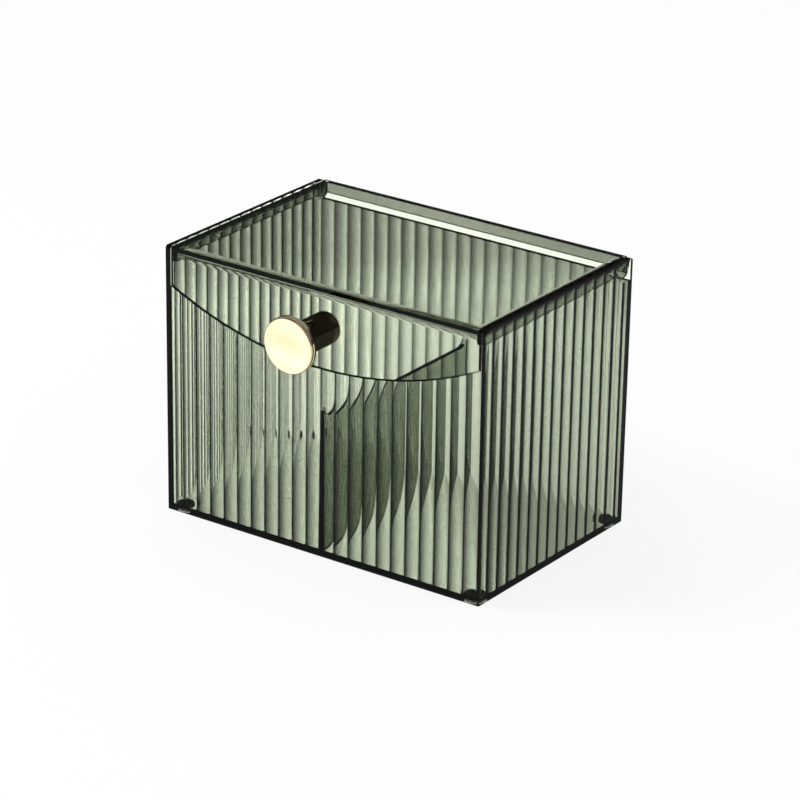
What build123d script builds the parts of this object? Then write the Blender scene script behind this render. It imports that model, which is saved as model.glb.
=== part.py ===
from build123d import *
import os
from math import atan, degrees, sqrt

# Clear fluted box with a divider and a flip-up lid, opened by a round metal knob.
# Sizes are in mm. X runs along the front, Y from front to back and Z up.
# The origin is on the underside, in the middle of the box.

# Box outside
box_width = 135.0
box_depth = 90.0
box_height = 100.0
wall_lean = 0.3          # each outer face leans in by this much from top to bottom
edge_round = 0.8         # outer upright edges
rim_round = 1.2          # top corners of the side walls, front and back

# Walls and floor
wall = 2.2               # measured at the ridges between flutes
floor = 2.2
front_pitch = 6.03       # flutes along the front and back walls
front_ridge_shift = -0.95  # where one ridge of the front wall stands, from the middle
side_pitch = 6.13        # flutes along the side walls
side_ridge_shift = -1.3  # where one ridge of the right wall stands, from the middle
flute_depth = 0.45
back_wall_drop = 8.4     # top of the back wall below the top of the sides

# Front rim, an arc that dips in the middle
rim_dip = 29.9           # lowest point of the rim, below the box's top
rim_radius = 147.0

# Divider
divider_height = 51.8
divider_top = 1.9        # thickness at the top
divider_root = 2.8       # thickness at the floor
divider_flare = 4.0      # hollow corner where its top edge meets the walls
divider_sunk = 1.1       # its ends run this far into the walls, past the ridges

# Lid
plate = 1.9
skirt = 2.0
lid_side_gap = 0.3       # lid to side wall
lid_rim_gap = 0.35       # skirt to front rim
skirt_fillet = 2.5       # inside corner between plate and skirt
side_flange = 1.6        # thickness
side_flange_drop = 3.7   # below the plate
side_fillet = 1.5        # inside corner between plate and side flange
rear_flange = 1.6        # thickness
rear_flange_drop = 3.8   # below the plate
rear_flange_half = 63.6  # half its length
flange_round = 1.4

# Hinge
pivot_inset = 3.7        # from the box's back face
pivot_drop = 3.6         # from the box's top
ear_radius = 3.2
ear = 1.8                # thickness
pin_radius = 1.2
pin_clearance = 0.05     # radial, pin in its hole
pin_end_inset = 0.3      # pin end below the side wall's outer face
pin_chamfer = 0.3
pad_radius = 4.7         # flat round on the inside of the side wall
pad_depth = 0.8          # how deep the flat fills the flutes
pad_proud = 0.05         # the flat stands this much before the ridges

# Knob
knob_drop = 15.4         # its axis below the box's top
knob_reach = 18.8        # front of the disc before the skirt
stem_radius = 5.9
disc_radius = 10.2
disc = 2.8               # thickness
disc_front_round = 0.8
disc_groove = 0.25       # depth of the line turned into the disc's edge
disc_groove_width = 0.5
disc_back_round = 0.3
dish_radius = 9.0        # dished part of the face
dish = 0.5               # depth of the dish
stem_fillet = 0.8

# Screw
screw_radius = 2.0
screw_reach = 9.0        # length inside the knob
screw_clearance = 0.05   # radial, screw in the knob
screw_hole_radius = 2.2
screw_spare = 0.8        # bore beyond the screw's end
screw_head_radius = 5.9
screw_head = 2.9         # height
screw_head_round = 1.3
recess_width = 1.2       # cross recess
recess_length = 5.2
recess_depth = 1.3

# Feet
foot_radius = 3.8
foot = 1.0               # thickness
foot_inset = 5.4         # centre from the outer faces
foot_clearance = 0.1     # radial, foot in its pocket
foot_round = 0.2

# Worked out from the sizes above
half_width = box_width / 2
half_depth = box_depth / 2
lean = degrees(atan(wall_lean / box_height))
inner_half_width = half_width - wall
inner_half_depth = half_depth - wall
lid_half_width = inner_half_width - lid_side_gap
rim_dip_height = box_height - rim_dip
rim_centre = rim_dip_height + rim_radius
back_wall_height = box_height - back_wall_drop
knob_height = box_height - knob_drop
plate_under = box_height - plate
pivot_y = half_depth - pivot_inset
pivot_z = box_height - pivot_drop
skirt_back = -half_depth + skirt
margin = 5.0             # how far a cutting block passes the faces that it cuts
wall_cut = 2 * (wall + margin)      # length of a cutter centred on the front face, through the wall
skirt_cut = 2 * (skirt + margin)    # the same through the skirt


def lean_at(z):
    """How far the walls have leaned in at this height, from their place at the top."""
    return wall_lean * (box_height - z) / box_height


def span(x0, x1, y0, y1, z0, z1):
    """A box between two corners."""
    size = Box(x1 - x0, y1 - y0, z1 - z0)
    return Pos((x0 + x1) / 2, (y0 + y1) / 2, (z0 + z1) / 2) * size


def across(radius, length, y, z):
    """A cylinder along X, centred at x = 0."""
    return Pos(0, y, z) * Rot(0, 90, 0) * Cylinder(radius, length)


def outer_block():
    """The box's outside, leaning out from the underside to the top."""
    base = RectangleRounded(box_width - 2 * wall_lean, box_depth - 2 * wall_lean, edge_round)
    return extrude(base, amount=box_height, taper=-lean)


def fluted_side(length, reach, pitch, shift):
    """Half of the inside room, up to a fluted wall on its +Y side, along X."""
    count = int(length / 2 / pitch) + 2
    ridge = reach - wall_lean
    left = -count * pitch + shift
    right = count * pitch + shift
    edges = []
    for i in range(-count, count):
        start = (i * pitch + shift, ridge)
        crest = ((i + 0.5) * pitch + shift, ridge + flute_depth)
        end = ((i + 1) * pitch + shift, ridge)
        edges.append(ThreePointArc(start, crest, end))
    edges.append(Line((right, ridge), (right, -margin)))
    edges.append(Line((right, -margin), (left, -margin)))
    edges.append(Line((left, -margin), (left, ridge)))
    outline = make_face(edges)
    upward = Vector(0, wall_lean, box_height).normalized()
    slope_length = sqrt(box_height**2 + wall_lean**2) * (1 + margin / box_height)
    return extrude(outline, amount=slope_length, dir=upward)


def fluted_pair(length, reach, pitch, shift):
    """The room between two facing fluted walls, the same after half a turn."""
    back = fluted_side(length, reach, pitch, shift)
    return back + Rot(0, 0, 180) * back


def inside_room():
    """The inside of the box above the floor, with flutes on all four sides."""
    along = fluted_pair(box_width, inner_half_depth, front_pitch, -front_ridge_shift)
    across_box = fluted_pair(box_depth, inner_half_width, side_pitch, -side_ridge_shift)
    across_box = Rot(0, 0, -90) * across_box
    above_floor = span(-half_width, half_width, -half_depth, half_depth, floor, box_height + margin)
    return (along & above_floor) & across_box


def front_opening():
    """What is cut from the front wall for the skirt."""
    arc_cut = Pos(0, -half_depth, rim_centre) * Rot(90, 0, 0) * Cylinder(rim_radius, wall_cut)
    slab = span(
        -inner_half_width, inner_half_width,
        -half_depth - margin, -inner_half_depth + flute_depth,
        rim_dip_height - margin, box_height + margin,
    )
    return arc_cut & slab


def back_opening():
    """What is cut from the back wall below the lid's rear edge."""
    return span(
        -inner_half_width, inner_half_width,
        inner_half_depth - flute_depth, half_depth + margin,
        back_wall_height, box_height + margin,
    )


def divider():
    """Upright wall between the two compartments, thinner at its top."""
    top = divider_height + divider_flare
    half_root = divider_root / 2
    half_top = divider_top / 2
    outline = Polyline(
        (-half_root, floor), (half_root, floor), (half_top, top), (-half_top, top), close=True
    )
    wedge = extrude(Plane.XZ * make_face(outline), amount=inner_half_depth + divider_sunk, both=True)
    trough_half = inner_half_depth - lean_at(divider_height)
    trough = span(
        -divider_root, divider_root, -trough_half, trough_half, divider_height, top + margin
    )
    low_edges = trough.edges().filter_by(Axis.X).group_by(Axis.Z)[0]
    return wedge - fillet(low_edges, divider_flare)


def hinge_pads():
    """Flat rounds that fill the flutes on the side walls about the hinge holes."""
    face = inner_half_width - pad_proud
    rounds = across(pad_radius, 2 * (inner_half_width + pad_depth), pivot_y, pivot_z)
    between = span(-face, face, -half_depth, half_depth + margin, 0, box_height + margin)
    return (rounds - between) & outer_block()


def round_top_corners(body):
    """Rounds the front and back top corners of both side walls, seen from the side."""
    profile = Rectangle(box_depth + 2 * margin, 2 * box_height)
    keep = RectangleRounded(box_depth, 2 * box_height, rim_round)
    cutter = extrude(Plane.YZ * (profile - keep), amount=half_width + margin, both=True)
    above = span(
        -half_width - margin, half_width + margin, -half_depth - margin, half_depth + margin,
        box_height - rim_round, box_height + margin,
    )
    return body - (cutter & above)


def foot_places():
    """Centres of the four feet, with the names that go with them."""
    x = half_width - foot_inset
    y = half_depth - foot_inset
    return {
        "foot_front_left": (-x, -y),
        "foot_front_right": (x, -y),
        "foot_back_left": (-x, y),
        "foot_back_right": (x, y),
    }


def box_body():
    body = outer_block() - inside_room()
    body = body - front_opening() - back_opening()
    body = body + hinge_pads()
    body = round_top_corners(body)
    body = body + divider()
    body = body - across(pin_radius + pin_clearance, box_width + margin, pivot_y, pivot_z)
    for x, y in foot_places().values():
        body = body - Pos(x, y, foot / 2) * Cylinder(foot_radius + foot_clearance, foot)
    return body


def foot_pad(x, y):
    pad = Cylinder(foot_radius, foot)
    pad = fillet(pad.edges().group_by(Axis.Z)[0], foot_round)
    return Pos(x, y, foot / 2) * pad


def lid_skirt():
    """Front skirt: its lower edge follows the rim, and it blends into the plate inside."""
    sheet = span(
        -lid_half_width, lid_half_width, -half_depth, skirt_back, rim_dip_height, box_height
    )
    arc = Cylinder(rim_radius - lid_rim_gap, skirt_cut)
    arc = Pos(0, -half_depth, rim_centre) * Rot(90, 0, 0) * arc
    corner = span(
        -lid_half_width, lid_half_width, skirt_back, skirt_back + skirt_fillet,
        plate_under - skirt_fillet, plate_under,
    )
    corner -= across(skirt_fillet, box_width, skirt_back + skirt_fillet, plate_under - skirt_fillet)
    return (sheet & arc) + corner


def lid_flanges():
    """Side flanges and the rear flange, which hang below the plate."""
    strip = span(
        lid_half_width - side_flange, lid_half_width, skirt_back, pivot_y,
        plate_under - side_flange_drop, plate_under,
    )
    inner = lid_half_width - side_flange
    corner = span(
        inner - side_fillet, inner, skirt_back, pivot_y, plate_under - side_fillet, plate_under
    )
    hollow = Rot(90, 0, 0) * Cylinder(side_fillet, box_depth)
    corner = corner - Pos(inner - side_fillet, 0, plate_under - side_fillet) * hollow
    strip = strip + corner
    flanges = strip + mirror(strip, about=Plane.YZ)
    rear = span(
        -rear_flange_half, rear_flange_half, half_depth - rear_flange, half_depth,
        plate_under - rear_flange_drop, plate_under,
    )
    low_corners = rear.edges().filter_by(Axis.Y).group_by(Axis.Z)[0]
    return flanges + fillet(low_corners, flange_round)


def lid_ears():
    """Round ears below the plate's rear corners, each with its hinge pin."""
    ear_middle = lid_half_width - ear / 2
    pin_end = half_width - lean_at(pivot_z) - pin_end_inset
    round_ear = Cylinder(ear_radius, ear)
    pin = Pos(0, 0, (pin_end - ear_middle) / 2) * Cylinder(pin_radius, pin_end - ear_middle)
    pin = chamfer(pin.edges().group_by(Axis.Z)[-1], pin_chamfer)
    turned = Pos(ear_middle, pivot_y, pivot_z) * Rot(0, 90, 0) * (round_ear + pin)
    neck = span(
        ear_middle - ear / 2, lid_half_width,
        pivot_y - ear_radius, pivot_y + ear_radius, pivot_z, plate_under,
    )
    right = turned + neck
    return right + mirror(right, about=Plane.YZ)


def lid():
    top = span(
        -lid_half_width, lid_half_width, -half_depth, half_depth, plate_under, box_height
    )
    shell = top + lid_skirt() + lid_flanges() + lid_ears()
    hole = Cylinder(screw_hole_radius, skirt_cut)
    return shell - Pos(0, -half_depth, knob_height) * Rot(90, 0, 0) * hole


def knob():
    """Disc on a stem, turned in one piece, with a bore for the screw."""
    face = knob_reach
    back = face - disc
    groove = back + disc / 2
    half_groove = disc_groove_width / 2
    groove_radius = disc_radius - disc_groove
    round_start = face - disc_front_round
    bore_radius = screw_radius + screw_clearance
    bore_end = screw_reach + screw_spare
    outline = [
        Line((bore_radius, 0), (stem_radius, 0)),
        Line((stem_radius, 0), (stem_radius, back - stem_fillet)),
        CenterArc((stem_radius + stem_fillet, back - stem_fillet), stem_fillet, 180, -90),
        Line((stem_radius + stem_fillet, back), (disc_radius - disc_back_round, back)),
        CenterArc((disc_radius - disc_back_round, back + disc_back_round), disc_back_round, -90, 90),
        Line((disc_radius, back + disc_back_round), (disc_radius, groove - half_groove)),
        Line((disc_radius, groove - half_groove), (groove_radius, groove)),
        Line((groove_radius, groove), (disc_radius, groove + half_groove)),
        Line((disc_radius, groove + half_groove), (disc_radius, round_start)),
        CenterArc((disc_radius - disc_front_round, round_start), disc_front_round, 0, 90),
        Line((disc_radius - disc_front_round, face), (dish_radius, face)),
        Spline((dish_radius, face), (0, face - dish), tangents=[(-1, -0.1), (-1, 0)]),
        Line((0, face - dish), (0, bore_end)),
        Line((0, bore_end), (bore_radius, bore_end)),
        Line((bore_radius, bore_end), (bore_radius, 0)),
    ]
    solid = revolve(make_face(outline), Axis.Y, 360)
    return Pos(0, -half_depth, knob_height) * Rot(180, 0, 0) * solid


def knob_screw():
    """Round-headed screw with a cross recess, head inside the lid."""
    head = Cylinder(screw_head_radius, screw_head)
    head = fillet(head.edges().group_by(Axis.Z)[-1], screw_head_round)
    head = Pos(0, 0, screw_head / 2) * head
    for turn in (0, 90):
        slot = Rot(0, 0, turn) * Box(recess_length, recess_width, 2 * recess_depth)
        head = head - Pos(0, 0, screw_head) * slot
    length = skirt + screw_reach
    shank = Pos(0, 0, -length / 2) * Cylinder(screw_radius, length)
    return Pos(0, skirt_back, knob_height) * Rot(-90, 0, 0) * (head + shank)


def main():
    pieces = {
        "box_body": box_body(),
        "lid": lid(),
        "knob": knob(),
        "knob_screw": knob_screw(),
    }
    for name, (x, y) in foot_places().items():
        pieces[name] = foot_pad(x, y)
    os.makedirs("parts", exist_ok=True)
    for name, shape in pieces.items():
        export_step(shape, os.path.join("parts", name + ".step"))
        print(name, round(shape.volume, 1))


main()
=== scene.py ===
import math
import bmesh
import bpy
from mathutils import Matrix, Vector


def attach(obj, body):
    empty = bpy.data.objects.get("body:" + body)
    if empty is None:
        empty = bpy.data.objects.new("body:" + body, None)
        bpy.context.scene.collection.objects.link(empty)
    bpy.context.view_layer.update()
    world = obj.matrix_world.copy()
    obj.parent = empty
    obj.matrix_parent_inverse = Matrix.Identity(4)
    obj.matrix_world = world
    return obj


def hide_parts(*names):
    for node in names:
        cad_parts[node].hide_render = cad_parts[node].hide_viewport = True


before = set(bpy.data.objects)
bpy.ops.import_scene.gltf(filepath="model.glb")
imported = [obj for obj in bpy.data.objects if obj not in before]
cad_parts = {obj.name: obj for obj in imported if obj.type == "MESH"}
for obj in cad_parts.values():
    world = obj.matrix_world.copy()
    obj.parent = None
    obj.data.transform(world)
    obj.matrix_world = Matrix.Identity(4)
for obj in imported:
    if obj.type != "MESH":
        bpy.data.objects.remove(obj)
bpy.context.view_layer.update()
print("scene: frame loaded")

millimetre = 0.001  # pieces are shaped in millimetres and scaled once at the end
gap = 0.02  # air left between faces that touch, so that both show
over = 5.0  # how far a cutting shape passes the faces that it cuts
past = 1.0  # the same for a small cut, or for a second shape that passes the first
sunk = 0.5  # how far a joined shape reaches into the one it joins
near = 0.1  # edges are picked by place to within this
hair = 0.01  # keeps joined faces out of one plane, and tells one turned ring from the next
weld = 0.001  # points closer than this are merged
axisX, axisY, axisZ = (1, 0, 0), (0, 1, 0), (0, 0, 1)
knobHeight = 84.6  # from the underside to the knob's axis

view = {
    "azimuth": 35.30, "elevation": 22.41, "roll": 0.97,  # degrees
    "distance": 1394.2, "aimHeight": 50.0, "slideRight": 1.16, "slideUp": -5.37,
    "lens": 178.479, "sensor": 36.0,
    "nearest": 0.01, "farthest": 20,  # metres
}


def placeCamera():
    az, el, roll = (math.radians(view[k]) for k in ("azimuth", "elevation", "roll"))
    forward = Vector((-math.sin(az) * math.cos(el), math.cos(az) * math.cos(el), -math.sin(el)))
    level = Vector((math.cos(az), math.sin(az), 0))
    above = level.cross(forward)
    right = math.cos(roll) * level + math.sin(roll) * above
    up = math.cos(roll) * above - math.sin(roll) * level
    eye = Vector((0, 0, view["aimHeight"])) - forward * view["distance"]
    eye += right * view["slideRight"] + up * view["slideUp"]
    turn = Matrix((right, up, -forward)).transposed().to_4x4()
    data = bpy.data.cameras.new("photoCamera")
    data.lens, data.sensor_width = view["lens"], view["sensor"]
    data.clip_start, data.clip_end = view["nearest"], view["farthest"]
    camera = bpy.data.objects.new("photoCamera", data)
    bpy.context.scene.collection.objects.link(camera)
    camera.matrix_world = Matrix.Translation(eye * millimetre) @ turn
    bpy.context.scene.camera = camera


placeCamera()


def asObject(bm, name):
    bmesh.ops.recalc_face_normals(bm, faces=bm.faces)
    mesh = bpy.data.meshes.new(name)
    bm.to_mesh(mesh)
    bm.free()
    piece = bpy.data.objects.new(name, mesh)
    bpy.context.scene.collection.objects.link(piece)
    return piece


def carve(piece, tool, how="DIFFERENCE"):
    # one exact boolean, applied at once, and the tool thrown away
    step = piece.modifiers.new(how, "BOOLEAN")
    step.operation, step.solver, step.object = how, "EXACT", tool
    bpy.context.view_layer.update()
    done = bpy.data.meshes.new_from_object(piece.evaluated_get(bpy.context.evaluated_depsgraph_get()))
    piece.modifiers.clear()
    piece.data = done
    bpy.data.objects.remove(tool)
    return piece


def cuboid(bm, size, centre):
    bmesh.ops.create_cube(bm, size=1)
    bmesh.ops.scale(bm, vec=size, verts=bm.verts)
    bmesh.ops.translate(bm, vec=centre, verts=bm.verts)


def cylinder(bm, radius, length, segments):
    bmesh.ops.create_cone(
        bm, cap_ends=True, segments=segments, radius1=radius, radius2=radius, depth=length
    )


def pointAlong(bm, axis, place):
    # what stands along Z is turned to the axis and moved to its place
    turn = Vector(axisZ).rotation_difference(Vector(axis)).to_matrix()
    bmesh.ops.rotate(bm, cent=(0, 0, 0), matrix=turn, verts=bm.verts)
    bmesh.ops.translate(bm, vec=place, verts=bm.verts)


def block(low, high):
    bm = bmesh.new()
    low, high = Vector(low), Vector(high)
    cuboid(bm, high - low, (low + high) / 2)
    return asObject(bm, "block")


def endBlock(side, xs, ys, zs):
    # a block at the left or right end, its xs counted outwards from the middle
    left, right = sorted(side * x for x in xs)
    return block((left, ys[0], zs[0]), (right, ys[1], zs[1]))


def rod(radius, length, centre, axis, segments):
    bm = bmesh.new()
    cylinder(bm, radius, length, segments)
    pointAlong(bm, axis, centre)
    return asObject(bm, "rod")


def finishPiece(piece, body, nodes, material, sharpAngle=28):
    # smooth shading that stops at real edges, flat faces kept flat, and metres
    mesh = piece.data
    mesh.transform(Matrix.Scale(millimetre, 4))
    mesh.shade_smooth()
    mesh.set_sharp_from_angle(angle=math.radians(sharpAngle))
    flatFaces = piece.modifiers.new("flatFaces", "WEIGHTED_NORMAL")
    flatFaces.keep_sharp = True
    flatFaces.weight = 60  # above 50, large faces lead
    mesh.materials.clear()
    mesh.materials.append(material)
    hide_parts(*nodes)
    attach(piece, body)
    return piece


def vertsOf(geometry):
    return [g for g in geometry if isinstance(g, bmesh.types.BMVert)]


def edgesWhere(bm, test):
    return [e for e in bm.edges if test((e.verts[0].co + e.verts[1].co) / 2, e.verts[1].co - e.verts[0].co)]


def roundEdges(bm, edges, radius, segments):
    bmesh.ops.bevel(
        bm, geom=edges, offset=radius, offset_type="OFFSET", affect="EDGES",
        segments=segments, profile=0.5, material=-1, clamp_overlap=True,
    )


def feed(tree, sockets, values):
    # each value is a colour, a number or another node's output
    for socket, value in zip(sockets, values):
        if isinstance(value, tuple):
            socket.default_value = (*value, 1)
        elif isinstance(value, (int, float)):
            socket.default_value = value
        else:
            tree.links.new(value, socket)


def blend(tree, share, low, high):
    # from low to high by a share of 0 to 1, for numbers and colours alike
    coloured = isinstance(low, tuple)
    node = tree.nodes.new("ShaderNodeMix")
    node.data_type = "RGBA" if coloured else "FLOAT"
    used = (0, 6, 7) if coloured else (0, 2, 3)
    feed(tree, [node.inputs[i] for i in used], (share, low, high))
    return node.outputs[2 if coloured else 0]


def newMaterial(name):
    material = bpy.data.materials.new(name)
    material.use_nodes = True
    return material


def noise(tree, place, scale, detail=2.0):
    node = tree.nodes.new("ShaderNodeTexNoise")
    node.inputs["Scale"].default_value = scale
    node.inputs["Detail"].default_value = detail
    tree.links.new(place, node.inputs["Vector"])
    return node.outputs["Fac"]


def bump(tree, pattern, height, strength=1.0, before=None):
    node = tree.nodes.new("ShaderNodeBump")
    node.inputs["Strength"].default_value = strength
    node.inputs["Distance"].default_value = height
    tree.links.new(pattern, node.inputs["Height"])
    if before:
        tree.links.new(before, node.inputs["Normal"])
    return node.outputs["Normal"]


# the materials' scales and heights are for metres

def plasticMaterial():
    look = {
        "index": 1.55, "tint": (0.292, 0.34, 0.222), "density": 600.0,
        "waveScale": 60.0, "waveDetail": 1.0, "waveHeight": 0.00001,
    }
    material = newMaterial("smokyClearPlastic")
    tree = material.node_tree
    shader = tree.nodes["Principled BSDF"]
    shader.inputs["Base Color"].default_value = (1, 1, 1, 1)
    shader.inputs["Transmission Weight"].default_value = 1.0
    shader.inputs["IOR"].default_value = look["index"]
    shader.inputs["Roughness"].default_value = 0.0
    place = tree.nodes.new("ShaderNodeTexCoord").outputs["Object"]
    wave = noise(tree, place, look["waveScale"], look["waveDetail"])
    tree.links.new(bump(tree, wave, look["waveHeight"]), shader.inputs["Normal"])
    # the tint deepens with the way that light goes through the plastic
    depth = tree.nodes.new("ShaderNodeVolumeAbsorption")
    depth.inputs["Color"].default_value = (*look["tint"], 1)
    depth.inputs["Density"].default_value = look["density"]
    tree.links.new(depth.outputs["Volume"], tree.nodes["Material Output"].inputs["Volume"])
    return material


def goldMaterial():
    look = {
        "pale": (0.96, 0.83, 0.57), "deep": (0.90, 0.73, 0.44), "polished": 0.06, "worn": 0.13,
        "patchScale": 170.0, "patchDetail": 3.0,
        "ringScale": 1000.0, "ringWander": 0.6, "ringHeight": 0.0000025,
    }
    material = newMaterial("paleGoldPlate")
    tree = material.node_tree
    shader = tree.nodes["Principled BSDF"]
    shader.inputs["Metallic"].default_value = 1.0
    place = tree.nodes.new("ShaderNodeTexCoord")
    centred = tree.nodes.new("ShaderNodeMapping")
    centred.inputs["Location"].default_value = (0, 0, -knobHeight * millimetre)
    tree.links.new(place.outputs["Object"], centred.inputs["Vector"])
    centre = centred.outputs["Vector"]
    patches = noise(tree, centre, look["patchScale"], look["patchDetail"])
    tree.links.new(blend(tree, patches, look["pale"], look["deep"]), shader.inputs["Base Color"])
    tree.links.new(blend(tree, patches, look["polished"], look["worn"]), shader.inputs["Roughness"])
    # the lathe's fine marks: rings on the flat faces and bands along the stem
    normal = None
    for kind in ("RINGS", "BANDS"):
        marks = tree.nodes.new("ShaderNodeTexWave")
        marks.wave_type = kind
        marks.rings_direction = marks.bands_direction = "Y"
        marks.inputs["Scale"].default_value = look["ringScale"]
        marks.inputs["Distortion"].default_value = look["ringWander"]
        tree.links.new(centre, marks.inputs["Vector"])
        normal = bump(tree, marks.outputs["Fac"], look["ringHeight"], before=normal)
    tree.links.new(normal, shader.inputs["Normal"])
    return material


def rubberMaterial():
    look = {
        "dark": (0.14, 0.147, 0.133), "dusty": (0.30, 0.31, 0.28), "smooth": 0.5, "dull": 0.75,
        "patchScale": 500.0, "grainScale": 6000.0, "grainHeight": 0.00002, "grainStrength": 0.6,
    }
    material = newMaterial("greyRubber")
    tree = material.node_tree
    shader = tree.nodes["Principled BSDF"]
    place = tree.nodes.new("ShaderNodeTexCoord").outputs["Object"]
    patches = noise(tree, place, look["patchScale"])
    tree.links.new(blend(tree, patches, look["dark"], look["dusty"]), shader.inputs["Base Color"])
    tree.links.new(blend(tree, patches, look["smooth"], look["dull"]), shader.inputs["Roughness"])
    grain = noise(tree, place, look["grainScale"])
    rough = bump(tree, grain, look["grainHeight"], look["grainStrength"])
    tree.links.new(rough, shader.inputs["Normal"])
    return material


plastic = plasticMaterial()
gold = goldMaterial()
rubber = rubberMaterial()
print("scene: materials made")


box = {
    "width": 135.0, "depth": 90.0, "height": 100.0, "lean": 0.3, "wall": 2.2, "floor": 2.2,
    "edgeRound": 0.8, "rimRound": 1.2, "backWallTop": 91.6, "rimDip": 70.1, "rimRadius": 147.0,
    # flutes: pitch, place along the wall, depth, and the bend in degrees that steepens their ridges
    "frontPitch": 6.03, "frontShift": -0.95, "sidePitch": 6.13, "sideShift": -1.3,
    "fluteDepth": 0.48, "fluteBend": 66.0, "fluteSteps": 20,
    "dividerTop": 51.8, "dividerThin": 1.9, "dividerThick": 2.8, "dividerFlare": 4.0,
    "dividerStart": 1.0, "dividerSunk": 1.1,  # inside the floor and in the walls past the flutes' ridges
    "pivotY": 41.3, "pivotZ": 96.4, "holeRadius": 1.25, "padRadius": 4.7, "padFace": 65.25,
    "footInset": 5.4, "footDepth": 1.0, "footRadius": 3.9,
}
halfWidth, halfDepth, top = box["width"] / 2, box["depth"] / 2, box["height"]
ridgeX, ridgeY = halfWidth - box["wall"], halfDepth - box["wall"]
rimCentre = box["rimDip"] + box["rimRadius"]


def leanAt(z):
    return box["lean"] * (top - z) / top


def outerBlock():
    bm = bmesh.new()
    cuboid(bm, (box["width"], box["depth"], top), (0, 0, top / 2))
    low = [v for v in bm.verts if v.co.z < top / 2]
    shrink = ((halfWidth - box["lean"]) / halfWidth, (halfDepth - box["lean"]) / halfDepth, 1)
    bmesh.ops.scale(bm, vec=shrink, verts=low)
    # the side walls' top corners, then the upright edges
    corners = edgesWhere(bm, lambda mid, run: mid.z > top / 2 and abs(run.x) > halfWidth)
    roundEdges(bm, corners, box["rimRound"], segments=6)
    upright = edgesWhere(bm, lambda mid, run: abs(run.z) > top / 2)
    roundEdges(bm, upright, box["edgeRound"], segments=6)
    return asObject(bm, "box_shell")


def fluteChain(bm, length, pitch, shift, ridge):
    # one groove spun from a single vertex and flattened, so that it steepens towards its ridges
    bend = math.radians(box["fluteBend"])
    radius = pitch / 2 / math.sin(bend)
    count = int(length / 2 / pitch) + 2
    start = Vector((-count * pitch + shift, 0, 0))
    first = bmesh.ops.create_vert(bm, co=start)["vert"]
    bmesh.ops.spin(
        bm, geom=first, cent=start + Vector((pitch / 2, radius * math.cos(bend), 0)), axis=axisZ,
        angle=2 * bend, steps=box["fluteSteps"], use_merge=False, use_duplicate=False,
    )
    flatten = box["fluteDepth"] / (radius - radius * math.cos(bend))
    bmesh.ops.scale(bm, vec=(1, flatten, 1), verts=bm.verts)
    bmesh.ops.translate(bm, vec=(0, -ridge, 0), verts=bm.verts)
    groove = bm.verts[:] + bm.edges[:]
    for i in range(1, 2 * count):
        copied = bmesh.ops.duplicate(bm, geom=groove)["geom"]
        bmesh.ops.translate(bm, vec=(i * pitch, 0, 0), verts=vertsOf(copied))
    bmesh.ops.remove_doubles(bm, verts=bm.verts, dist=weld)


def flutedRoom(length, pitch, shift, reach, low, high):
    # the room between two facing fluted walls, as a prism that widens upwards
    bm = bmesh.new()
    fluteChain(bm, length, pitch, shift, reach - leanAt(low))
    facing = vertsOf(bmesh.ops.duplicate(bm, geom=bm.verts[:] + bm.edges[:])["geom"])
    bmesh.ops.rotate(bm, cent=(0, 0, 0), matrix=Matrix.Rotation(math.pi, 3, "Z"), verts=facing)
    bmesh.ops.bridge_loops(bm, edges=bm.edges[:])
    bmesh.ops.dissolve_faces(bm, faces=bm.faces[:])
    bmesh.ops.translate(bm, vec=(0, 0, low), verts=bm.verts)
    raised = vertsOf(bmesh.ops.extrude_face_region(bm, geom=bm.faces[:])["geom"])
    rise = high - low
    widen = box["lean"] * rise / top
    for side in (-1, 1):
        moved = [v for v in raised if v.co.y * side > 0]
        bmesh.ops.translate(bm, vec=(0, side * widen, rise), verts=moved)
    return asObject(bm, "room")


def dividerWedge():
    # upright wall between the compartments, thinner at its top, hollowed at its top edge
    low, high = box["dividerStart"], box["dividerTop"] + box["dividerFlare"]
    bm = bmesh.new()
    cuboid(bm, (1, 2 * (ridgeY + box["dividerSunk"]), high - low), (0, 0, (high + low) / 2))
    for v in bm.verts:
        v.co.x *= box["dividerThin"] if v.co.z > box["dividerTop"] else box["dividerThick"]
    wedge = asObject(bm, "wedge")
    bm = bmesh.new()
    reach = ridgeY - leanAt(box["dividerTop"])
    cuboid(bm, (2 * over, 2 * reach, 4 * over), (0, 0, box["dividerTop"] + 2 * over))
    lowEnds = edgesWhere(bm, lambda mid, run: mid.z < box["dividerTop"] + near and abs(run.x) > near)
    roundEdges(bm, lowEnds, box["dividerFlare"], segments=16)
    return carve(wedge, asObject(bm, "trough"))


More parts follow.
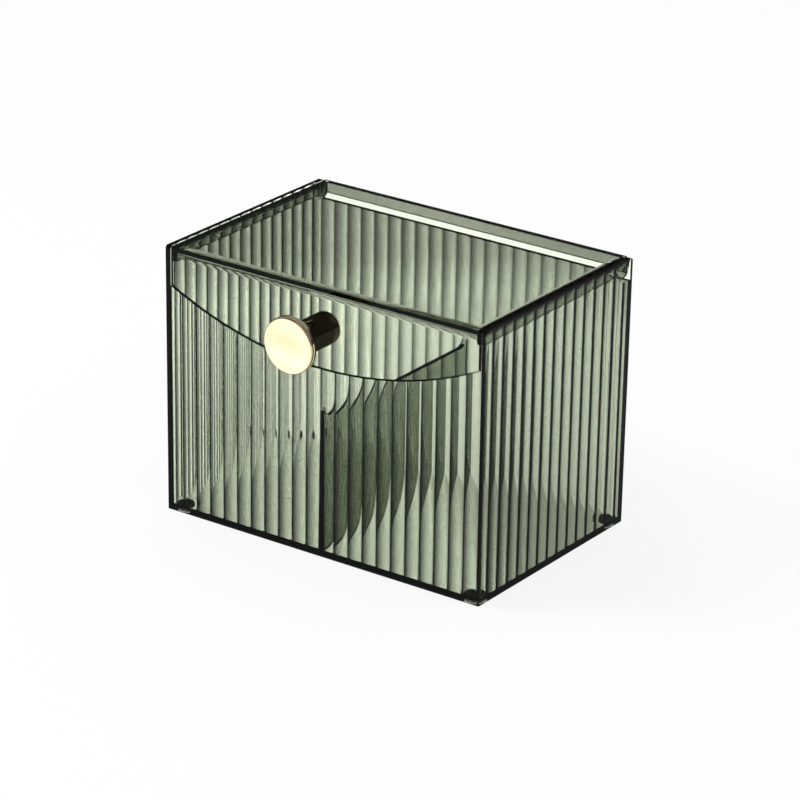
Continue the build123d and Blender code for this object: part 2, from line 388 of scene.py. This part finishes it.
def boxBody():
    room = flutedRoom(box["width"], box["frontPitch"], box["frontShift"], ridgeY, box["floor"], top + over)
    sides = flutedRoom(box["depth"], box["sidePitch"], box["sideShift"], ridgeX, 0, top + 2 * over)
    sides.data.transform(Matrix.Rotation(math.radians(90), 4, "Z"))
    carve(room, sides, "INTERSECT")
    # the front wall cut down in an arc, and the back wall cut down straight
    inner, above = ridgeY - box["fluteDepth"], top + over + past
    front = block((-ridgeX, -halfDepth - over, box["rimDip"] - over), (ridgeX, -inner, above))
    arc = rod(box["rimRadius"], 4 * over, (0, -halfDepth, rimCentre), axisY, segments=480)
    carve(front, arc, "INTERSECT")
    back = block((-ridgeX, inner, box["backWallTop"]), (ridgeX, halfDepth + over, above))
    carve(room, front, "UNION")
    carve(room, back, "UNION")
    # the side walls stay solid and flat round the hinge's holes
    for side in (-1, 1):
        x = side * (box["padFace"] + over / 2)
        pad = rod(box["padRadius"], over, (x, box["pivotY"], box["pivotZ"]), axisX, segments=96)
        carve(room, pad)
    carve(room, dividerWedge())
    body = carve(outerBlock(), room)
    pivot = (0, box["pivotY"], box["pivotZ"])
    carve(body, rod(box["holeRadius"], box["width"] + over, pivot, axisX, segments=48))
    for x in (-1, 1):
        for y in (-1, 1):
            centre = (x * (halfWidth - box["footInset"]), y * (halfDepth - box["footInset"]), 0)
            carve(body, rod(box["footRadius"], 2 * box["footDepth"], centre, axisZ, segments=64))
    return finishPiece(body, "box", ["box_body"], plastic)


body = boxBody()
print("scene: box made,", len(body.data.polygons), "faces")


lidSizes = {
    "halfWidth": 65.0, "plate": 1.9, "skirt": 2.0, "fillet": 2.5, "edge": 0.25, "rimGap": 0.35,
    "sideFlange": 1.6, "sideDrop": 3.7, "sideFillet": 1.5,
    "rearFlange": 1.6, "rearDrop": 3.8, "rearHalf": 63.6, "flangeRound": 1.4,
    "ear": 1.8, "earRadius": 3.2,
    "pinRadius": 1.2, "pinStart": 0.5, "pinEnd": 67.19, "pinChamfer": 0.3, "screwHole": 2.2,
}
under = top - lidSizes["plate"]
skirtBack = -halfDepth + lidSizes["skirt"]
flangeEnd = lidSizes["halfWidth"] - hair


def plateAndSkirt():
    # the L-shaped section, drawn out sideways, with its corner filled inside
    half = lidSizes["halfWidth"]
    bm = bmesh.new()
    section = (
        (-halfDepth, box["rimDip"]), (-halfDepth, top), (halfDepth, top),
        (halfDepth, under), (skirtBack, under), (skirtBack, box["rimDip"]),
    )
    face = bm.faces.new([bm.verts.new((-half, y, z)) for y, z in section])
    drawn = vertsOf(bmesh.ops.extrude_face_region(bm, geom=[face])["geom"])
    bmesh.ops.translate(bm, vec=(2 * half, 0, 0), verts=drawn)

    def insideCorner(mid, run):
        return abs(run.x) > near and abs(mid.y - skirtBack) < near and abs(mid.z - under) < near
    roundEdges(bm, edgesWhere(bm, insideCorner), lidSizes["fillet"], segments=14)
    outside = edgesWhere(bm, lambda mid, run: abs(run.x) > near and mid.z > top - near)
    roundEdges(bm, outside, lidSizes["edge"], segments=4)
    return asObject(bm, "lid_shell")


def sideFlange(lid, side):
    inner, fillet = flangeEnd - lidSizes["sideFlange"], lidSizes["sideFillet"]
    heights = (under - lidSizes["sideDrop"], under + sunk)
    flange = endBlock(side, (inner, flangeEnd), (skirtBack - sunk, box["pivotY"]), heights)
    carve(lid, flange, "UNION")
    # the hollow filling between the flange and the plate, held a little inside both
    held = sunk - near
    lengths = (skirtBack - held, box["pivotY"] - hair)
    corner = endBlock(side, (inner - fillet, inner + sunk), lengths, (under - fillet, under + held))
    centre = (side * (inner - fillet), 0, under - fillet)
    carve(corner, rod(fillet, box["depth"] + over, centre, axisY, segments=64))
    carve(lid, corner, "UNION")


def rearFlange():
    deep, tall = lidSizes["rearFlange"], lidSizes["rearDrop"] + sunk
    bm = bmesh.new()
    centre = (0, halfDepth - hair - deep / 2, under + sunk - tall / 2)
    cuboid(bm, (2 * lidSizes["rearHalf"], deep, tall), centre)
    lowEnds = edgesWhere(bm, lambda mid, run: abs(run.y) > near and mid.z < under)
    roundEdges(bm, lowEnds, lidSizes["flangeRound"], segments=8)
    return asObject(bm, "rear")


def lidEar(side):
    inner = flangeEnd - lidSizes["ear"]
    y, z, r = box["pivotY"], box["pivotZ"], lidSizes["earRadius"]
    ear = rod(r, flangeEnd - inner, (side * (flangeEnd + inner) / 2, y, z), axisX, segments=64)
    carve(ear, endBlock(side, (inner, flangeEnd), (y - r, y + r), (z, under + sunk)), "UNION")
    bm = bmesh.new()
    length = lidSizes["pinEnd"] - inner - lidSizes["pinStart"]
    cylinder(bm, lidSizes["pinRadius"], length, segments=48)
    tip = edgesWhere(bm, lambda mid, run: mid.z > 0 and abs(run.z) < near)
    roundEdges(bm, tip, lidSizes["pinChamfer"], segments=3)
    pointAlong(bm, (side, 0, 0), (side * (lidSizes["pinEnd"] - length / 2), y, z))
    return carve(ear, asObject(bm, "pin"), "UNION")


def lidPiece():
    lid = plateAndSkirt()
    radius = box["rimRadius"] - lidSizes["rimGap"]
    carve(lid, rod(radius, 3 * halfDepth, (0, 0, rimCentre), axisY, segments=480), "INTERSECT")
    for side in (-1, 1):
        sideFlange(lid, side)
    carve(lid, rearFlange(), "UNION")
    for side in (-1, 1):
        carve(lid, lidEar(side), "UNION")
    middle = (0, -halfDepth, knobHeight)
    carve(lid, rod(lidSizes["screwHole"], 3 * lidSizes["skirt"], middle, axisY, segments=48))
    return finishPiece(lid, "flip_lid", ["lid"], plastic)


lid = lidPiece()
print("scene: lid made,", len(lid.data.polygons), "faces")


knob = {
    "reach": 18.8, "stem": 5.9, "disc": 10.2, "thick": 2.8, "turns": 128,
    "frontRound": 0.8, "backRound": 0.3, "fillet": 0.8, "grooveDepth": 0.25, "grooveWidth": 0.5,
    "dishRadius": 9.0, "dish": 0.5, "dishSteps": 20, "sharp": 35,
}


def ringsAt(bm, radius, distance):
    # the edges of the ring at this radius and distance along the axis
    def on(v):
        return abs(v.co.xy.length - radius) < hair and abs(v.co.z - distance) < hair
    return [e for e in bm.edges if on(e.verts[0]) and on(e.verts[1])]


def spinProfile(bm, points, turns):
    # a profile of (radius, distance) points joined to what is there and spun about the axis
    verts = [bm.verts.new((r, 0, d)) for r, d in points]
    for pair in zip(verts, verts[1:]):
        bm.edges.new(pair)
    bmesh.ops.remove_doubles(bm, verts=bm.verts, dist=weld)
    bmesh.ops.spin(
        bm, geom=bm.verts[:] + bm.edges[:], cent=(0, 0, 0), axis=axisZ, angle=2 * math.pi,
        steps=turns, use_merge=True, use_duplicate=False,
    )
    bmesh.ops.remove_doubles(bm, verts=bm.verts, dist=weld / 2)


def turnedPiece(bm, name, baseY, towards):
    # from the lathe's axis to the knob's, pointing out of or into the box
    pointAlong(bm, (0, towards, 0), (0, baseY, knobHeight))
    return asObject(bm, name)


def knobPiece():
    face, back = knob["reach"], knob["reach"] - knob["thick"]
    stem, disc, dished = knob["stem"], knob["disc"], knob["dishRadius"]
    middle, half = back + knob["thick"] / 2, knob["grooveWidth"] / 2
    bm = bmesh.new()
    # the shallow dish: one arc from the middle of the face to its rim
    bend = (dished ** 2 + knob["dish"] ** 2) / (2 * knob["dish"])
    lowest = face - knob["dish"]
    first = bmesh.ops.create_vert(bm, co=(0, 0, lowest))["vert"]
    bmesh.ops.spin(
        bm, geom=first, cent=(0, 0, lowest + bend), axis=(0, -1, 0), angle=math.asin(dished / bend),
        steps=knob["dishSteps"], use_merge=False, use_duplicate=False,
    )
    points = (
        (0, gap), (stem, gap), (stem, back), (disc, back), (disc, middle - half),
        (disc - knob["grooveDepth"], middle), (disc, middle + half), (disc, face), (dished, face),
    )
    spinProfile(bm, points, knob["turns"])
    roundEdges(bm, ringsAt(bm, stem, back), knob["fillet"], segments=6)
    roundEdges(bm, ringsAt(bm, disc, back), knob["backRound"], segments=4)
    roundEdges(bm, ringsAt(bm, disc, face), knob["frontRound"], segments=8)
    piece = turnedPiece(bm, "knob_turned", -halfDepth, -1)
    return finishPiece(piece, "flip_lid", ["knob"], gold, knob["sharp"])


screw = {
    "head": 5.9, "high": 2.9, "round": 1.3, "rim": 0.2, "turns": 96, "sharp": 35,
    "recessWide": 1.2, "recessLong": 5.2, "recessDeep": 1.3, "shank": 2.0,
}


def screwPiece():
    high, radius = screw["high"], screw["head"]
    bm = bmesh.new()
    spinProfile(bm, ((0, gap), (radius, gap), (radius, high), (0, high)), screw["turns"])
    roundEdges(bm, ringsAt(bm, radius, gap), screw["rim"], segments=2)
    roundEdges(bm, ringsAt(bm, radius, high), screw["round"], segments=8)
    piece = turnedPiece(bm, "screw_head", skirtBack, 1)
    # the cross recess
    end, long, slim = skirtBack + high, screw["recessLong"], screw["recessWide"]
    for wide, tall in ((long, slim), (slim, long)):
        low = (-wide / 2, end - screw["recessDeep"], knobHeight - tall / 2)
        carve(piece, block(low, (wide / 2, end + past, knobHeight + tall / 2)))
    middle = (0, -halfDepth + lidSizes["skirt"] / 2, knobHeight)
    shank = rod(screw["shank"], lidSizes["skirt"] + gap, middle, axisY, segments=48)
    carve(piece, shank, "UNION")
    return finishPiece(piece, "flip_lid", ["knob_screw"], gold, screw["sharp"])


knobPiece()
screwPiece()
print("scene: knob and screw made")


foot = {"radius": 3.8, "thick": 1.0, "round": 0.2, "sharp": 35}
footNodes = {
    "foot_front_left": (-1, -1), "foot_front_right": (1, -1),
    "foot_back_left": (-1, 1), "foot_back_right": (1, 1),
}


def footPiece(node, sideX, sideY):
    bm = bmesh.new()
    thick = foot["thick"] - gap
    cylinder(bm, foot["radius"], thick, segments=64)
    lowRim = edgesWhere(bm, lambda mid, run: mid.z < 0 and abs(run.z) < near)
    roundEdges(bm, lowRim, foot["round"], segments=4)
    x, y = sideX * (halfWidth - box["footInset"]), sideY * (halfDepth - box["footInset"])
    bmesh.ops.translate(bm, vec=(x, y, thick / 2), verts=bm.verts)
    finishPiece(asObject(bm, node + "_pad"), "box", [node], rubber, foot["sharp"])


for node, (sideX, sideY) in footNodes.items():
    footPiece(node, sideX, sideY)
print("scene: feet made")


# sizes in metres, and levels where 1 is white; pairs are (place or share, level)
studio = {
    "floorSize": 6.0, "floorDrop": 0.0003, "floorColour": (0.9, 0.9, 0.9, 1), "soft": 0.8,
    "shadowShare": 0.15, "underShare": 0.03,  # the floor's own shading, seen plainly and through plastic
    "floorMirror": 0.08, "skyMirror": 0.05,  # what the plastic's outer faces mirror
    "inner": 0.04,  # what its inner faces mirror
    # what shows through one wall only; the strip is a painted highlight, a glowing strip by y on the floor
    "thinLevel": 1.9, "stripLevel": 3.9,
    "strip": ((0.236, 0.0), (0.243, 1.0), (0.276, 1.0), (0.286, 0.0)),
    # what the satin metal mirrors: a share of the panels, and the floor glowing by distance from a spot, a
    # painted pool of light seen as a painted reflection in the metal
    "goldSky": 0.5, "paintedGoldPoolCentre": (-0.12, -0.23, 0.0),
    "paintedGoldPool": (
        (0.0, 1.3), (0.02, 1.2), (0.04, 1.55), (0.06, 2.1), (0.1, 1.7), (0.16, 1.25), (0.25, 0.7),
    ),
    # panels round the box by bearing, as a share of a quarter turn; steep ways see an even level
    "panelBright": 5.3, "steepFrom": 0.5, "steepRise": 5.0, "steepLevel": 0.5,
    "panels": (
        (0.0, 0.6), (0.156, 0.45), (0.2, 0.6), (0.244, 0.85), (0.289, 1.0), (0.333, 0.9),
        (0.378, 0.64), (0.422, 0.42), (0.467, 0.25), (0.511, 0.15), (0.556, 0.08), (0.6, 0.04),
        (0.69, 0.04), (0.8, 0.3), (1.0, 0.6),
    ),
    # the floor seen through plastic, painted light: a band glows as a painted pool of light, the rest is
    # clear to the panels with a faint painted glow
    # along is x + y and across is y - x
    "paintedGlowBright": 4.0, "bandClear": 0.1,
    "bandAlong": ((0.03, 0.0), (0.06, 1.0), (0.1, 1.0), (0.17, 0.0)),
    "bandAcross": ((0.25, 1.0), (0.3, 0.0)),
    "paintedBandGlow": ((0.0, 0.6), (0.11, 0.78), (0.23, 0.93)),
    "paintedRestGlow": ((0.0, 0.05), (0.13, 0.09), (0.3, 0.28), (0.37, 0.12)),
    # the clear zone's fall-off is painted shade: less of the panels shows through towards its ends and
    # sides
    "clearAlong": ((0.1, 1.0), (0.18, 0.55)), "clearAcross": ((0.3, 1.0), (0.36, 0.78)),
}


def mathNode(tree, how, first, second=0.0):
    node = tree.nodes.new("ShaderNodeMath")
    node.operation = how
    feed(tree, node.inputs, (first, second))
    return node.outputs[0]


def levelRamp(tree, value, stops):
    # straight stretches between (value, level) stops
    first, last = stops[0][0], stops[-1][0]
    node = tree.nodes.new("ShaderNodeValToRGB")
    node.color_ramp.interpolation = "LINEAR"
    marks = node.color_ramp.elements
    for i, (place, level) in enumerate(stops):
        share = (place - first) / (last - first)
        mark = marks[i] if i < 2 else marks.new(share)
        mark.position = share
        mark.color = (level, level, level, 1)
    share = mathNode(tree, "SUBTRACT", value, first)
    tree.links.new(mathNode(tree, "DIVIDE", share, last - first), node.inputs["Fac"])
    return node.outputs["Color"]


def splitParts(tree, vector):
    parts = tree.nodes.new("ShaderNodeSeparateXYZ")
    tree.links.new(vector, parts.inputs[0])
    return [parts.outputs[name] for name in ("X", "Y", "Z")]


def glowShader(tree, level):
    glow = tree.nodes.new("ShaderNodeEmission")
    tree.links.new(level, glow.inputs["Strength"])
    return glow.outputs["Emission"]


def joinShaders(tree, share, first, second):
    node = tree.nodes.new("ShaderNodeMixShader")
    feed(tree, node.inputs, (share, first, second))
    return node.outputs["Shader"]


def rayKinds(tree):
    # seen: looked at, mirrored or through plastic; passed: through plastic; thin: through one wall at most
    # bounced: mirrored at least once; gold: mirrored by satin metal
    path = tree.nodes.new("ShaderNodeLightPath").outputs
    seen = mathNode(tree, "MAXIMUM", path["Is Camera Ray"], path["Is Glossy Ray"])
    seen = mathNode(tree, "MAXIMUM", seen, path["Is Transmission Ray"])
    passed = mathNode(tree, "GREATER_THAN", path["Transmission Depth"], 0.5)
    thin = mathNode(tree, "LESS_THAN", path["Transmission Depth"], 2.5)
    bounced = mathNode(tree, "GREATER_THAN", path["Glossy Depth"], 0.5)
    gold = mathNode(tree, "SUBTRACT", path["Is Glossy Ray"], path["Is Singular Ray"])
    gold = mathNode(tree, "GREATER_THAN", gold, 0.5)
    return {"seen": seen, "passed": passed, "thin": thin, "bounced": bounced, "gold": gold}


# the floor's glow as the gold sees it: a painted pool of light, brighter or dimmer by distance from a spot
def paintedGoldPoolLevel(tree, place):
    away = tree.nodes.new("ShaderNodeVectorMath")
    away.operation = "DISTANCE"
    tree.links.new(place, away.inputs[0])
    away.inputs[1].default_value = studio["paintedGoldPoolCentre"]
    highest = max(level for far, level in studio["paintedGoldPool"])
    shares = [(far, level / highest) for far, level in studio["paintedGoldPool"]]
    return mathNode(tree, "MULTIPLY", levelRamp(tree, away.outputs["Value"], shares), highest)


def floorZone(tree, name, along, across):
    # 1 inside the zone of this name, falling off towards its ends and sides
    ends = levelRamp(tree, along, studio[name + "Along"])
    return mathNode(tree, "MULTIPLY", ends, levelRamp(tree, across, studio[name + "Across"]))


def floorThroughPlastic(tree, ray, place):
    # painted light: the floor glows by place as painted pools of light, and shows the panels behind it,
    # dimmed by place as painted shade
    x, y = splitParts(tree, place)[:2]
    along = mathNode(tree, "ADD", x, y)
    across = mathNode(tree, "SUBTRACT", y, x)
    # the lit band and the faint rest are painted light, a pool of light glowing on the floor
    band = floorZone(tree, "band", along, across)
    paintedBandGlow = levelRamp(tree, across, studio["paintedBandGlow"])
    paintedRestGlow = levelRamp(tree, across, studio["paintedRestGlow"])
    level = mathNode(tree, "MULTIPLY", blend(tree, band, paintedRestGlow, paintedBandGlow), studio["paintedGlowBright"])
    # through one wall it is evenly pale, with a painted highlight: a glowing strip on the floor that shows
    # in the slot behind the lid
    strip = levelRamp(tree, y, studio["strip"])
    level = blend(tree, ray["thin"], level, blend(tree, strip, studio["thinLevel"], studio["stripLevel"]))
    glow = glowShader(tree, blend(tree, ray["bounced"], level, studio["inner"]))
    # the floor's clearness falls off by place as painted shade, darker towards the zone's ends and sides
    clear = tree.nodes.new("ShaderNodeBsdfTransparent")
    clearness = blend(tree, band, floorZone(tree, "clear", along, across), studio["bandClear"])
    tree.links.new(blend(tree, ray["thin"], clearness, 0.0), clear.inputs["Color"])
    both = tree.nodes.new("ShaderNodeAddShader")
    feed(tree, both.inputs, (glow, clear.outputs["BSDF"]))
    return both.outputs["Shader"]


def makeFloor():
    bm = bmesh.new()
    bmesh.ops.create_grid(bm, x_segments=1, y_segments=1, size=studio["floorSize"])
    bmesh.ops.translate(bm, vec=(0, 0, -studio["floorDrop"]), verts=bm.verts)
    floor = asObject(bm, "floor")
    material = newMaterial("paleFloor")
    tree = material.node_tree
    tree.nodes.clear()
    out = tree.nodes.new("ShaderNodeOutputMaterial")
    matt = tree.nodes.new("ShaderNodeBsdfDiffuse")
    matt.inputs["Color"].default_value = studio["floorColour"]
    ray = rayKinds(tree)
    place = tree.nodes.new("ShaderNodeTexCoord").outputs["Object"]
    level = blend(tree, ray["bounced"], 1.0, studio["floorMirror"])
    # the gold sees the floor as a painted pool of light, a painted reflection on the knob's face
    plain = glowShader(tree, blend(tree, ray["gold"], level, paintedGoldPoolLevel(tree, place)))
    bright = joinShaders(tree, ray["passed"], plain, floorThroughPlastic(tree, ray, place))
    # a share of the matt shading is kept, and with it the shadow
    kept = blend(tree, ray["passed"], 1 - studio["shadowShare"], 1 - studio["underShare"])
    share = mathNode(tree, "MULTIPLY", ray["seen"], kept)
    surface = joinShaders(tree, share, matt.outputs["BSDF"], bright)
    tree.links.new(surface, out.inputs["Surface"])
    floor.data.materials.append(material)


def panelLevels(tree, x, y):
    # soft bright panels stand round the box with dim gaps between them, the same on all four sides
    bearing = mathNode(tree, "ARCTAN2", mathNode(tree, "MULTIPLY", x, -1.0), y)
    quarters = mathNode(tree, "DIVIDE", bearing, math.pi / 2)
    # four quarters more keep it above 0
    share = mathNode(tree, "FRACT", mathNode(tree, "ADD", quarters, 4.0))
    return levelRamp(tree, share, studio["panels"])


def panelsThroughPlastic(tree, ray, panels, z):
    steep = mathNode(tree, "SUBTRACT", mathNode(tree, "ABSOLUTE", z), studio["steepFrom"])
    steep = mathNode(tree, "MULTIPLY", steep, studio["steepRise"])
    steep = mathNode(tree, "MINIMUM", mathNode(tree, "MAXIMUM", steep, 0.0), 1.0)
    level = blend(tree, steep, panels, studio["steepLevel"])
    level = mathNode(tree, "MULTIPLY", level, studio["panelBright"])
    level = blend(tree, ray["thin"], level, studio["thinLevel"])
    return blend(tree, ray["bounced"], level, studio["inner"])


def makeWorld():
    world = bpy.data.worlds.new("studioWorld")
    bpy.context.scene.world = world
    world.use_nodes = True
    tree = world.node_tree
    tree.nodes.clear()
    out = tree.nodes.new("ShaderNodeOutputWorld")
    soft = tree.nodes.new("ShaderNodeBackground")
    soft.inputs["Color"].default_value = (1, 1, 1, 1)
    soft.inputs["Strength"].default_value = studio["soft"]
    white = tree.nodes.new("ShaderNodeBackground")
    white.inputs["Color"].default_value = (1, 1, 1, 1)
    ray = rayKinds(tree)
    x, y, z = splitParts(tree, tree.nodes.new("ShaderNodeTexCoord").outputs["Generated"])
    panels = panelLevels(tree, x, y)
    direct = blend(tree, ray["bounced"], 1.0, studio["skyMirror"])
    direct = blend(tree, ray["gold"], direct, mathNode(tree, "MULTIPLY", panels, studio["goldSky"]))
    through = panelsThroughPlastic(tree, ray, panels, z)
    tree.links.new(blend(tree, ray["passed"], direct, through), white.inputs["Strength"])
    surface = joinShaders(tree, ray["seen"], soft.outputs["Background"], white.outputs["Background"])
    tree.links.new(surface, out.inputs["Surface"])


def softLamp(name, place, aim, size, power):
    data = bpy.data.lights.new(name, "AREA")
    data.shape, data.size, data.energy = "DISK", size, power
    lamp = bpy.data.objects.new(name, data)
    bpy.context.scene.collection.objects.link(lamp)
    lamp.location = place
    lamp.rotation_mode = "QUATERNION"
    lamp.rotation_quaternion = (Vector(aim) - Vector(place)).to_track_quat("-Z", "Y")
    lamp.visible_glossy = False  # no hard lamp spots on the knob or the plastic's corners


makeFloor()
makeWorld()
softLamp("keyLamp", place=(-0.5, -0.4, 0.9), aim=(0, 0, 0.05), size=0.35, power=4.0)
bpy.context.scene.view_settings.view_transform = "Standard"
print("scene: studio made")
